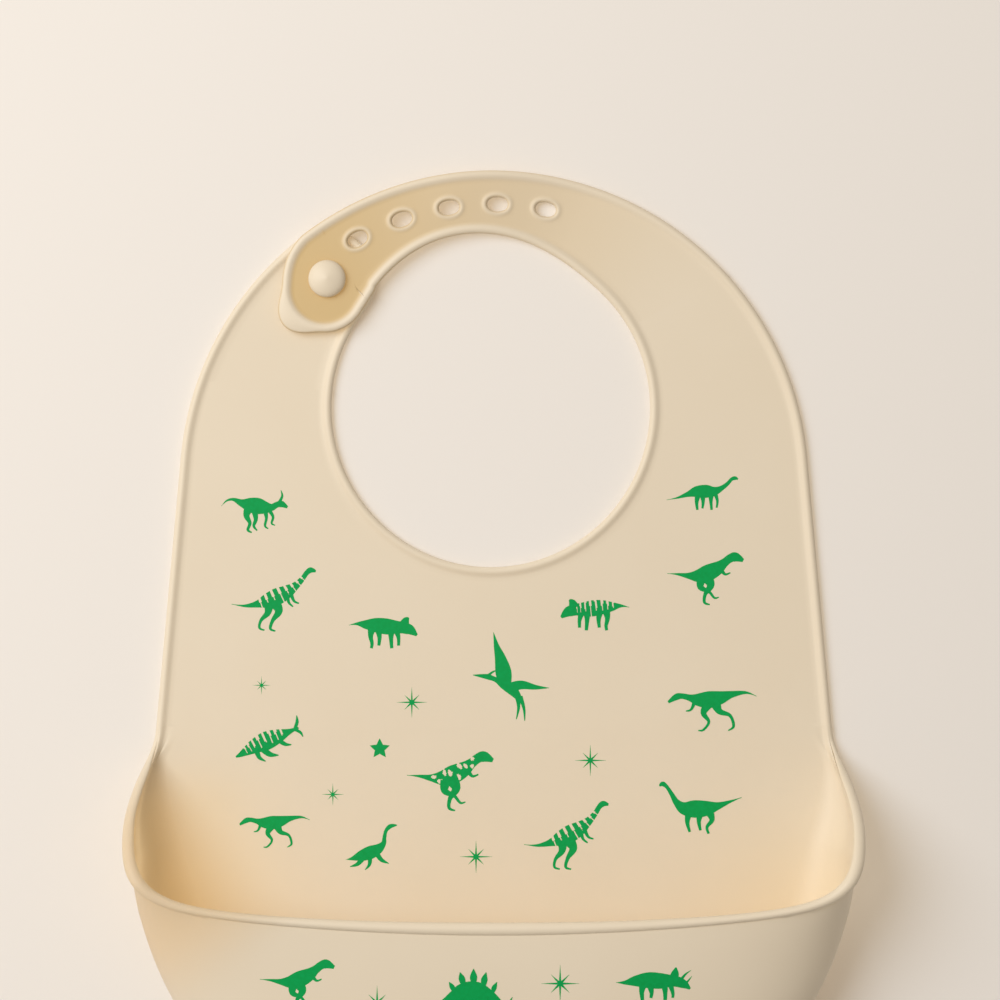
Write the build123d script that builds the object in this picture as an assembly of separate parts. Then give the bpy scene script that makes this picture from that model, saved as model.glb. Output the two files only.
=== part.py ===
from build123d import *
import os
from math import acos, atan2, cos, degrees, hypot, pi, radians, sin, sqrt

os.makedirs("parts", exist_ok=True)

# The bib lies on its back: X to the right, +Y towards the neck loop, +Z up.

# Sheet and its raised edge bead
SHEET = 2.0
BEAD_WIDTH = 2.6
BEAD_HEIGHT = 2.8

# Flat outline: a round arch over slightly splayed sides
ARCH_RADIUS = 98.0
ARCH_Y = 53.0
SIDE_SPLAY = 5.2
PANEL_END_Y = -30.5

# Neck opening
NECK_RADIUS = 49.6
NECK_X = -1.0
NECK_Y = 77.2
NECK_STRETCH = 5.0
NECK_STRETCH_FROM = 45.0
NECK_STRETCH_SPAN = 115.0

# Row of strap holes, on an arc about the arch's centre, angles clockwise from +Y
HOLE_ROW_RADIUS = 87.5
FIRST_HOLE_ANGLE = 10.6
HOLE_PITCH_ANGLE = 9.9
FREE_HOLES = 5
HOLE_LENGTH = 7.4
HOLE_WIDTH = 5.8
STUD_ROW_RADIUS = 82.5

# Strap tip, with its pull corner, and the angle where the band turns into it
TIP_X = -52.6
TIP_Y = 113.9
TIP_RADIUS = 13.4
PULL_REACH = 1.26
PULL_ANGLES = (180.0, 219.0, 258.0)
BAND_END_ANGLE = -31.0
BAND_END_WIDTH = 26.8
SHOULDER_ANGLE = -37.5
SHOULDER_BULGE = 1.2
TIP_SPLIT_ANGLE = -34.0
STRAP_TILT = 2.9

# Snap stud
STUD_NECK_RADIUS = 2.6
STUD_NECK_TOP = 6.5
STUD_HEAD_RADIUS = 5.7
STUD_HEAD_TOP = 10.2
STUD_HEAD_RIM = 1.0
STUD_DOME_AT = (0.62, 0.8)
ARM_END_RADIUS = 15.2

# Flex lines, each on a level just above the bead
FLEX_GAP = 0.6
FLEX_HEIGHT = 2.95
CHEST_FLEX_Y = 2.0
STRAP_FLEX_AT = 50.0
STRAP_FLEX_DIRECTION = 65.0
ARM_FLEX_DIRECTION = 160.0

# Catch pocket, described in upright planes that fan out from a point on the centre line
FAN_Y = -22.0
FAN_START = 5.0
FAN_CROWDING = 1.4
CORNER_FAN = 24.0
WALL = 1.8
WAIST = 0.45
WALL_TURN = 75.0
FLOOR_HALF_WIDTH = 102.5
FLOOR_LENGTH = 108.0
FLOOR_ROUNDING = 2.8
FLOOR_DRAW_IN = 5.0
BELLY_LENGTH = 129.0
BELLY_ROUNDING = 2.6
BELLY_SPREAD = 8.8
BELLY_SPREAD_FAN = 28.0

# Rim of the pocket: the sides swing out of the panel's edge, the lip is a shallow bow
SIDE_HALF_WIDTH = 105.2
SIDE_HEIGHT = 3.0
SIDE_SPREAD = 6.1
SIDE_RUN_OUT = 2.5
SIDE_SPREAD_FAN = 15.0
LIP_REACH = 60.0
LIP_BOW = 0.00065
RIM_ROUNDING = 11.0
LIP_HEIGHT = 38.5
LIP_RADIUS = 2.0
SIDE_BEAD_RADIUS = 1.4

# Splits of the pocket
JOIN_GAP = 0.3
POCKET_FLEX_Y = -144.5
POCKET_FLEX_Z = 5.0
CORNER_SPLIT_Y = -60.0
CORNER_SPLIT_Z = 32.5
FAR = 400.0


def ease(u):
    """0 to 1 with level ends."""
    u = min(max(u, 0.0), 1.0)
    return u * u * (3 - 2 * u)


def polar(x, y, radius, angle):
    """The point at that distance and angle, counter-clockwise from +X."""
    return (x + radius * cos(radians(angle)), y + radius * sin(radians(angle)))


def on_arch(radius, clockwise):
    """A point about the arch's centre, its angle clockwise from +Y."""
    return polar(0, ARCH_Y, radius, 90 - clockwise)


def area(*points):
    """A flat face through these corners."""
    return make_face(Polyline(*points, close=True))


def disc(x, y, radius):
    return Pos(x, y) * Circle(radius)


def side_of(start, direction, gap):
    """Everything to the left of a line, seen along its direction, kept gap/2 off it."""
    middle = Pos(*start) * Rot(0, 0, direction)
    return middle * Pos(0, FAR / 2 + gap / 2) * Rectangle(2 * FAR, FAR)


# ---------------------------------------------------------------- flat outlines
def body_outline(inset):
    """Arch and splayed sides, moved inwards by inset."""
    radius = ARCH_RADIUS - inset
    normal = (cos(radians(SIDE_SPLAY)), sin(radians(SIDE_SPLAY)))
    top = (radius * normal[0], ARCH_Y + radius * normal[1])
    drop = top[1] - PANEL_END_Y
    bottom = (top[0] + drop * normal[1] / normal[0], PANEL_END_Y)
    sides = area(top, bottom, (-bottom[0], bottom[1]), (-top[0], top[1]))
    arch = disc(0, ARCH_Y, radius) & side_of((0, top[1]), 0, 0)
    return arch + sides


def strap_neck(outset):
    """The neck opening under the strap, drawn up a little towards the strap's crown."""
    points = []
    for step in range(11):
        angle = NECK_STRETCH_FROM + NECK_STRETCH_SPAN * step / 10
        rise = NECK_STRETCH * sin(pi * step / 10) ** 2
        points.append(polar(NECK_X, NECK_Y, NECK_RADIUS + rise + outset, angle))
    return make_face([Spline(*points), Polyline(points[-1], (NECK_X, NECK_Y), points[0])])


def tangent_from(point, side, radius):
    """Where a line from a point outside the tip's round end touches it."""
    dx = point[0] - TIP_X
    dy = point[1] - TIP_Y
    swing = degrees(acos(radius / hypot(dx, dy)))
    return polar(TIP_X, TIP_Y, radius, degrees(atan2(dy, dx)) + side * swing)


def tip_outline(inset):
    """Round strap end, tangent to the band, with a squared corner to pull it by."""
    radius = TIP_RADIUS - inset
    outer = on_arch(ARCH_RADIUS - inset, BAND_END_ANGLE)
    inner = on_arch(ARCH_RADIUS - BAND_END_WIDTH + inset, BAND_END_ANGLE)
    on_way = on_arch(ARCH_RADIUS - inset, (BAND_END_ANGLE + SHOULDER_ANGLE) / 2)
    shoulder = on_arch(ARCH_RADIUS - inset, SHOULDER_ANGLE)
    outer_touch = tangent_from(shoulder, 1, radius)
    inner_touch = tangent_from(inner, -1, radius)
    half_way = ((shoulder[0] + outer_touch[0]) / 2, (shoulder[1] + outer_touch[1]) / 2)
    reach = hypot(half_way[0] - TIP_X, half_way[1] - TIP_Y) + SHOULDER_BULGE
    bulge = polar(TIP_X, TIP_Y, reach, degrees(atan2(half_way[1] - TIP_Y, half_way[0] - TIP_X)))
    round_edge = Spline(outer, on_way, shoulder, bulge, outer_touch)
    run_in = make_face([round_edge, Polyline(outer_touch, (TIP_X, TIP_Y), inner_touch, inner, outer)])
    start, middle, end = PULL_ANGLES
    corner = polar(TIP_X, TIP_Y, radius * PULL_REACH, middle)
    sides = (polar(TIP_X, TIP_Y, radius, start), polar(TIP_X, TIP_Y, radius, end))
    pull = area((TIP_X, TIP_Y), sides[0], corner, sides[1])
    return disc(TIP_X, TIP_Y, radius) + run_in + pull


def band_outline(inset):
    """The strap between its root and the point where it turns into the tip."""
    ring = disc(0, ARCH_Y, ARCH_RADIUS - inset) - disc(NECK_X, NECK_Y, NECK_RADIUS + inset)
    ring = ring - strap_neck(inset)
    return ring & side_of((0, ARCH_Y), 90 - BAND_END_ANGLE + 180, 0)


def strap_root_point():
    return polar(NECK_X, NECK_Y, NECK_RADIUS, STRAP_FLEX_AT)


def beaded(region, recess):
    """A sheet with its edge bead standing up round the recess."""
    return extrude(region, SHEET) + extrude(region - recess, BEAD_HEIGHT)


# ---------------------------------------------------------------- pocket shape
def rounded(across, along, power):
    """Distance to a corner rounded between a side that far off and an end that far off."""
    return (across**-power + along**-power) ** (-1 / power)


def superellipse(fan, half_width, length, power):
    """Distance from the fan point to a superellipse, angle below the X axis."""
    return rounded(half_width / abs(cos(radians(fan))), length / sin(radians(fan)), power)


def turn_of(fan):
    """Degrees round from the nearer side of the bib."""
    return min(fan, 180 - fan)


def foot_radius(fan):
    half_width = FLOOR_HALF_WIDTH - FLOOR_DRAW_IN * ease((turn_of(fan) - FAN_START) / CORNER_FAN)
    return superellipse(fan, half_width, FLOOR_LENGTH, FLOOR_ROUNDING)


def belly_radius(fan):
    half_width = SIDE_HALF_WIDTH + BELLY_SPREAD * ease(turn_of(fan) / BELLY_SPREAD_FAN)
    return superellipse(fan, half_width, BELLY_LENGTH, BELLY_ROUNDING)


def rim_radius(fan):
    """Distance to the wall's outer face at the rim; the bead stands out a little further."""
    run = min(turn_of(fan) / SIDE_SPREAD_FAN, 1)
    side = SIDE_HALF_WIDTH + SIDE_SPREAD * ease(run) + SIDE_RUN_OUT * run * (1 - run) ** 2
    across = abs(cos(radians(fan)))
    along = sin(radians(fan))
    lip = 2 * LIP_REACH / (along + sqrt(along**2 + 4 * LIP_BOW * LIP_REACH * across**2))
    return rounded(side / across, lip, RIM_ROUNDING) + WALL / 2 - bead_radius(fan)


def rim_height(fan):
    return SIDE_HEIGHT + (LIP_HEIGHT - SIDE_HEIGHT) * ease(turn_of(fan) / CORNER_FAN)


def bead_radius(fan):
    return SIDE_BEAD_RADIUS + (LIP_RADIUS - SIDE_BEAD_RADIUS) * ease(turn_of(fan) / CORNER_FAN)


def in_fan(fan, radius, z):
    """A point in the upright plane of that fan angle."""
    return (radius * cos(radians(fan)), FAN_Y - radius * sin(radians(fan)), z)


def wall_line(fan, shorten):
    """(radius, height, run) from the foot, round the belly, to that far short of the rim."""
    foot = foot_radius(fan)
    rim = rim_radius(fan)
    top = rim_height(fan)
    belly = max(belly_radius(fan), rim + 0.1)
    waist = WAIST * top
    turn = radians(WALL_TURN)
    back = (belly - rim) / (1 - cos(turn))
    rise = (top - waist) / sin(turn)
    slope = hypot(back * sin(turn), rise * cos(turn))
    top = top - shorten * rise * cos(turn) / slope
    rim = rim + shorten * back * sin(turn) / slope
    back = (belly - rim) / (1 - cos(turn))
    rise = (top - waist) / sin(turn)
    line = []
    for angle in (0, 22, 45, 68, 90):
        a = radians(angle)
        run = ((belly - foot) * cos(a), waist * sin(a))
        line.append((foot + (belly - foot) * sin(a), waist * (1 - cos(a)), run))
    for angle in (15, 30, 45, 60, WALL_TURN):
        a = radians(angle)
        run = (-back * sin(a), rise * cos(a))
        line.append((belly - back * (1 - cos(a)), waist + rise * sin(a), run))
    return line


def wall_section(fan):
    """The wall's closed section, stopping just short of the rim bead."""
    outer = []
    inner = []
    for radius, z, run in wall_line(fan, bead_radius(fan) + JOIN_GAP):
        size = hypot(*run)
        outer.append(in_fan(fan, radius, z))
        inner.append(in_fan(fan, radius - WALL * run[1] / size, z + WALL * run[0] / size))
    caps = [Line(outer[0], inner[0]), Line(outer[-1], inner[-1])]
    return make_face([Spline(*outer), Spline(*inner)] + caps)


def fan_angles(steps):
    """Fan angles from side to side, closer together round the corners."""
    left = [FAN_START + (90 - FAN_START) * (step / steps) ** FAN_CROWDING for step in range(steps + 1)]
    return left + [180 - fan for fan in reversed(left[:-1])]


def rim_bead():
    """Rounded bead along the rim, thickening from the sides to the lip."""
    rings = []
    for fan in fan_angles(20):
        along = rim_middle(fan + 0.5) - rim_middle(fan - 0.5)
        plane = Plane(origin=rim_middle(fan), x_dir=(0, 0, 1), z_dir=along)
        rings.append(plane * Circle(bead_radius(fan)))
    return loft(rings)


def rim_middle(fan):
    """The bead's centre, half a wall inside the wall's outer face."""
    radius, z, run = wall_line(fan, 0)[-1]
    half = WALL / 2 / hypot(*run)
    return Vector(*in_fan(fan, radius - half * run[1], z + half * run[0]))


def pocket_split(above):
    """Half space above or below the pocket's flex plane."""
    tilt = degrees(atan2(CORNER_SPLIT_Z - POCKET_FLEX_Z, CORNER_SPLIT_Y - POCKET_FLEX_Y))
    sign = 1 if above else -1
    block = Box(FAR, FAR, FAR)
    off = sign * (FAR + JOIN_GAP) / 2
    return Pos(0, POCKET_FLEX_Y, POCKET_FLEX_Z) * Rot(tilt, 0, 0) * Pos(0, 0, off) * block


# ---------------------------------------------------------------- lower panel and pocket floor
foot = [in_fan(fan, foot_radius(fan) - JOIN_GAP, 0)[:2] for fan in fan_angles(12)]
floor_top = PANEL_END_Y + 1
straight = Polyline(foot[-1], (foot[-1][0], floor_top), (foot[0][0], floor_top), foot[0])
pocket_floor = make_face([Spline(*foot), straight])
flat_part = body_outline(0) & side_of((0, CHEST_FLEX_Y), 180, FLEX_GAP)
recess = body_outline(BEAD_WIDTH)
lower_panel = beaded(flat_part, recess) + extrude(pocket_floor, SHEET)
export_step(lower_panel, "parts/lower_panel.step")

# ---------------------------------------------------------------- pocket shell, split along its flex plane
shell = loft([wall_section(fan) for fan in fan_angles(10)])
pocket_wall = shell & pocket_split(False)
pocket_front = shell & pocket_split(True)
export_step(pocket_wall, "parts/pocket_wall.step")
export_step(pocket_front, "parts/pocket_front.step")

bead = rim_bead()
pocket_lip = bead & pocket_split(True)
export_step(pocket_lip, "parts/pocket_lip.step")
rims = (bead & pocket_split(False)).solids().sort_by(Axis.X)
export_step(rims[0], "parts/side_rim_left.step")
export_step(rims[-1], "parts/side_rim_right.step")

# ---------------------------------------------------------------- chest panel
neck = disc(NECK_X, NECK_Y, NECK_RADIUS)
neck_recess = disc(NECK_X, NECK_Y, NECK_RADIUS + BEAD_WIDTH)
arm_root = polar(NECK_X, NECK_Y, NECK_RADIUS, ARM_FLEX_DIRECTION)
right_of_strap_line = side_of(strap_root_point(), STRAP_FLEX_DIRECTION + 180, FLEX_GAP)
below_arm_line = side_of(arm_root, ARM_FLEX_DIRECTION, FLEX_GAP)
chest_plan = (body_outline(0) & side_of((0, CHEST_FLEX_Y), 0, FLEX_GAP)) - neck
left_quarter = area((0, NECK_Y), (0, FAR), (-FAR, FAR), (-FAR, NECK_Y))
right_quarter = area((0, NECK_Y), (0, FAR), (FAR, FAR), (FAR, NECK_Y))
chest_plan = chest_plan - (left_quarter - below_arm_line) - (right_quarter - right_of_strap_line)
chest_recess = body_outline(BEAD_WIDTH) - neck_recess
chest_panel = beaded(chest_plan, chest_recess)
export_step(chest_panel, "parts/chest_panel.step")

# ---------------------------------------------------------------- stud arm and snap stud
STUD_ANGLE = FIRST_HOLE_ANGLE - FREE_HOLES * HOLE_PITCH_ANGLE
stud_x, stud_y = on_arch(STUD_ROW_RADIUS, STUD_ANGLE)


def arm_outline(inset):
    """The short arm: the left side of the loop, ending round the stud."""
    ring = disc(0, ARCH_Y, ARCH_RADIUS - inset) - disc(NECK_X, NECK_Y, NECK_RADIUS + inset)
    outer = on_arch(FAR, STUD_ANGLE)
    inward = degrees(atan2(stud_y - NECK_Y, stud_x - NECK_X))
    inner = polar(NECK_X, NECK_Y, 10, inward)
    keep = area((stud_x, stud_y), outer, (-FAR, NECK_Y), inner)
    return (ring & keep) + disc(stud_x, stud_y, ARM_END_RADIUS - inset)


above_arm_line = side_of(arm_root, ARM_FLEX_DIRECTION + 180, FLEX_GAP)
stud_arm = beaded(arm_outline(0) & above_arm_line, arm_outline(BEAD_WIDTH))
export_step(stud_arm, "parts/stud_arm.step")

head_foot = STUD_NECK_TOP + STUD_HEAD_RIM
profile = Polyline(
    (STUD_NECK_RADIUS, STUD_NECK_TOP),
    (STUD_NECK_RADIUS, SHEET),
    (0, SHEET),
    (0, STUD_HEAD_TOP),
)
shoulder = (STUD_DOME_AT[0] * STUD_HEAD_RADIUS, STUD_HEAD_TOP - STUD_DOME_AT[1])
dome = Spline((0, STUD_HEAD_TOP), shoulder, (STUD_HEAD_RADIUS, head_foot))
under_edge = (STUD_HEAD_RADIUS - STUD_HEAD_RIM, STUD_NECK_TOP)
under = Polyline((STUD_HEAD_RADIUS, head_foot), under_edge, (STUD_NECK_RADIUS, STUD_NECK_TOP))
stud_face = Plane.XZ * make_face([profile, dome, under])
snap_stud = Pos(stud_x, stud_y) * revolve(stud_face, Axis.Z)
export_step(snap_stud, "parts/snap_stud.step")

# ---------------------------------------------------------------- hole strap and its tip
holes = []
for place in range(FREE_HOLES + 1):
    clockwise = FIRST_HOLE_ANGLE - place * HOLE_PITCH_ANGLE
    radius = HOLE_ROW_RADIUS if place < FREE_HOLES else STUD_ROW_RADIUS
    slot = SlotOverall(HOLE_LENGTH, HOLE_WIDTH, rotation=-clockwise)
    holes.append(Pos(*on_arch(radius, clockwise)) * slot)

left_of_strap_line = side_of(strap_root_point(), STRAP_FLEX_DIRECTION, FLEX_GAP)
strap_plan = band_outline(0) + tip_outline(0)
strap_recess = band_outline(BEAD_WIDTH) + tip_outline(BEAD_WIDTH)
for hole in holes:
    strap_plan = strap_plan - hole
strap_plan = strap_plan & left_of_strap_line
band_side = side_of((0, ARCH_Y), 90 - TIP_SPLIT_ANGLE + 180, FLEX_GAP)
tip_side = side_of((0, ARCH_Y), 90 - TIP_SPLIT_ANGLE, FLEX_GAP)

root_x, root_y = strap_root_point()
along = polar(0, 0, 1, STRAP_FLEX_DIRECTION)
strap_axis = Axis((root_x, root_y, FLEX_HEIGHT), (along[0], along[1], 0))
hole_strap = beaded(strap_plan & band_side, strap_recess).rotate(strap_axis, STRAP_TILT)
strap_tip = beaded(strap_plan & tip_side, strap_recess).rotate(strap_axis, STRAP_TILT)
export_step(hole_strap, "parts/hole_strap.step")
export_step(strap_tip, "parts/strap_tip.step")
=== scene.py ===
import bpy
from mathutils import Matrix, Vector
from math import acos, asin, atan2, cos, degrees, hypot, pi, radians, sin, sqrt


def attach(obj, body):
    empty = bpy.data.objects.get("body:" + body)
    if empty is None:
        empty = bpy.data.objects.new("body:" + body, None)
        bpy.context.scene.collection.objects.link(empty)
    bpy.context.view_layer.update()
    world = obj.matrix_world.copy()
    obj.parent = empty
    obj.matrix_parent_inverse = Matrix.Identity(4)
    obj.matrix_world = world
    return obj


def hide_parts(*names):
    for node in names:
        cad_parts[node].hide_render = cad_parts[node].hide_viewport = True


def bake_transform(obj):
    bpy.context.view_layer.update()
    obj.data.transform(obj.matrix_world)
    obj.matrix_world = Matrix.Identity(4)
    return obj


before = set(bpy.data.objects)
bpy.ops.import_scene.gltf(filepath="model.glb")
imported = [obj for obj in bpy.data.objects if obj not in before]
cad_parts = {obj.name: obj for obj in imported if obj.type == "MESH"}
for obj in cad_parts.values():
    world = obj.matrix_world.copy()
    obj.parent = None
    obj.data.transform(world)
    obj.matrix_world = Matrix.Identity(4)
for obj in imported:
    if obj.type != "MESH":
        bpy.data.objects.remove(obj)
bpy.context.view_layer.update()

# ---------------------------------------------------------------- back panel
# The back of the bib: one soft silicone sheet that lies over the child's chest, with the
# neck opening cut out of it. It is moulded flat, 2 mm thick, and every edge carries a
# rounded bead that stands 0.8 mm above the sheet. Sizes are in millimetres.
NECK = (-1.0, 77.2)
NECK_RADIUS = 49.6
ARCH_Y = 53.0
ARCH_RADIUS = 98.0
SPLAY = radians(5.2)
PANEL_END_Y = -22.0
SHEET = 2.0
BEAD = 1.4
BEAD_FADE = 3.6
EDGE_STEPS = [0, 0.05, 0.19, 0.41, 0.7, 1.04, 1.4, 1.75, 2.1, 2.5, 3.0, BEAD_FADE]


def ease(u):
    u = min(max(u, 0.0), 1.0)
    return u * u * (3 - 2 * u)


def mix(a, b, u):
    return tuple(p + (q - p) * u for p, q in zip(a, b))


def out_from(centre, radius, angle):
    return (centre[0] + radius * cos(radians(angle)), centre[1] + radius * sin(radians(angle)))


def edge_top(d):
    """Height of the sheet's face at that distance from its beaded edge."""
    if d < BEAD:
        return BEAD + BEAD * sqrt(1 - ((BEAD - d) / BEAD) ** 2)
    if d < BEAD_FADE:
        return SHEET + (2 * BEAD - SHEET) * (0.5 + 0.5 * cos(pi * (d - BEAD) / (BEAD_FADE - BEAD)))
    return SHEET


def edge_low(d):
    """Height of the sheet's back at that distance from its edge."""
    if d < 1:
        return BEAD - BEAD * sqrt(1 - (1 - d) ** 2)
    return 0.0


def beaded_column(inner, outer, rows):
    """Points across a sheet from one beaded edge to the other. Each end is (point, inward normal);
    without a normal the edge is a plain cut."""
    (p, n), (q, m) = inner, outer
    column = []
    for d in EDGE_STEPS:
        top, low = (edge_top(d), edge_low(d)) if n else (SHEET, 0.0)
        n_or_none = n or (0, 0)
        column.append((p[0] + n_or_none[0] * d, p[1] + n_or_none[1] * d, top, low))
    a = column[-1]
    far = []
    for d in reversed(EDGE_STEPS):
        top, low = (edge_top(d), edge_low(d)) if m else (SHEET, 0.0)
        m_or_none = m or (0, 0)
        far.append((q[0] + m_or_none[0] * d, q[1] + m_or_none[1] * d, top, low))
    b = far[0]
    for row in range(1, rows):
        column.append(mix(a, b, row / rows))
    return column + far


def weld(name, points, faces, angle=50, painted_shade_and_glow=None, thin=None):
    """One finished piece: doubles merged, faces turned outwards, shaded smooth up to that angle.

    One mask paints a darker, warmer tone into the colour at each point (painted shade) and, in a
    material given a strength for it, a faint warm light (painted light); thin is a mask of how
    much light it lets through. Both suit light from the upper left; set them to 0 for another.
    """
    mesh = bpy.data.meshes.new(name)
    mesh.from_pydata([(x / 1000, y / 1000, z / 1000) for x, y, z in points], [], faces)
    for attribute, values in (("painted_shade_and_glow", painted_shade_and_glow), ("thin", thin)):
        layer = mesh.attributes.new(attribute, "FLOAT", "POINT")
        layer.data.foreach_set("value", values or [0.0] * len(points))
    piece = bpy.data.objects.new(name, mesh)
    bpy.context.collection.objects.link(piece)
    bpy.ops.object.select_all(action="DESELECT")
    piece.select_set(True)
    bpy.context.view_layer.objects.active = piece
    bpy.ops.object.mode_set(mode="EDIT")
    bpy.ops.mesh.select_all(action="SELECT")
    bpy.ops.mesh.remove_doubles(threshold=0.000004)
    bpy.ops.mesh.normals_make_consistent(inside=False)
    bpy.ops.object.mode_set(mode="OBJECT")
    bpy.ops.object.shade_smooth_by_angle(angle=radians(angle))
    return piece


def grid_faces(columns, rows, start=0, flip=False):
    faces = []
    for c in range(columns - 1):
        for r in range(rows - 1):
            a = start + c * rows + r
            face = (a, a + 1, a + rows + 1, a + rows)
            faces.append(face[::-1] if flip else face)
    return faces


def sheet_piece(name, columns, lift=None, ring=False, painted_shade_and_glow=None):
    """A closed sheet from its columns of (x, y, top, low), raised by lift(x, y); a ring closes on itself."""
    rows = len(columns[0])
    tops = []
    lows = []
    for column in columns:
        for x, y, top, low in column:
            z = lift(x, y) if lift else 0.0
            tops.append((x, y, z + top))
            lows.append((x, y, z + low))
    half = len(tops)
    faces = grid_faces(len(columns), rows) + grid_faces(len(columns), rows, half, True)
    for r in range(rows - 1):
        for c in () if ring else (0, len(columns) - 1):
            a = c * rows + r
            faces.append((a, a + 1, half + a + 1, half + a))
    for c in range(len(columns) - 1):
        for r in (0, rows - 1):
            a = c * rows + r
            faces.append((a, a + rows, half + a + rows, half + a))
    # Per-point painted shade mask on the top face, zero on the back.
    painted_light = [painted_shade_and_glow(x, y, z) for x, y, z in tops] + [0.0] * half if painted_shade_and_glow else None
    return weld(name, tops + lows, faces, painted_shade_and_glow=painted_light)


def neck_edge(angle):
    return out_from(NECK, NECK_RADIUS, angle), (cos(radians(angle)), sin(radians(angle)))


def panel_edge(angle):
    """Where a ray from the neck's centre leaves the panel, with the edge's inward normal."""
    dx = cos(radians(angle))
    dy = sin(radians(angle))
    cx = NECK[0]
    cy = NECK[1] - ARCH_Y
    b = cx * dx + cy * dy
    t = -b + sqrt(b * b - cx * cx - cy * cy + ARCH_RADIUS ** 2)
    x = cx + t * dx
    y = cy + t * dy
    if y >= ARCH_RADIUS * sin(SPLAY):
        return (x, y + ARCH_Y), (-x / ARCH_RADIUS, -y / ARCH_RADIUS)
    side = 1 if dx > 0 else -1
    gap = ARCH_RADIUS - side * cx * cos(SPLAY) - cy * sin(SPLAY)
    t = gap / (side * dx * cos(SPLAY) + dy * sin(SPLAY))
    if t > 0 and NECK[1] + t * dy > PANEL_END_Y:
        return (NECK[0] + t * dx, NECK[1] + t * dy), (-side * cos(SPLAY), -sin(SPLAY))
    t = (PANEL_END_Y - NECK[1]) / dy
    return (NECK[0] + t * dx, PANEL_END_Y), None


ARM_CUT = 174.0
STRAP_CUT = 30.0
side_x = (ARCH_RADIUS + (ARCH_Y - PANEL_END_Y) * sin(SPLAY)) / cos(SPLAY)
corners = {}
edge_turns = []
for side in (-1, 1):
    edge_turn, bead_turn = (
        degrees(atan2(PANEL_END_Y - NECK[1], side * (side_x - inset) - NECK[0])) % 360
        for inset in (0, BEAD_FADE)
    )
    corners[edge_turn] = side
    edge_turns.append((min(edge_turn, bead_turn) - 0.3, max(edge_turn, bead_turn) + 0.3))
turns = [ARM_CUT + (360 + STRAP_CUT - ARM_CUT) * step / 260 for step in range(261)]
turns = [t for t in turns if not any(low < t < high for low, high in edge_turns)]
columns = []
for turn in sorted(turns + list(corners)):
    if turn not in corners:
        columns.append(beaded_column(neck_edge(turn), panel_edge(turn), 40))
        continue
    side = corners[turn]
    corner = beaded_column(neck_edge(turn), ((side * side_x, PANEL_END_Y), (-side, 0)), 40)
    after = beaded_column(neck_edge(turn), ((side * (side_x - BEAD_FADE), PANEL_END_Y), None), 40)
    columns += [after, corner] if side > 0 else [corner, after]
panel = sheet_piece("back_panel", columns)

# Silicone of a warm oat colour: softly glossy, with the faint mottling and the very fine
# grain that the blasted mould leaves, and a dusty bloom where the light grazes it. Where the
# thin mask is set it lets some light through. A second per-point mask paints a deeper honey
# tone into its colour, painted shade for thin silicone clear of the surface, and in the
# pocket's copy it also adds a faint painted warm light.
SILICONE = (0.775, 0.685, 0.54)


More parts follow.
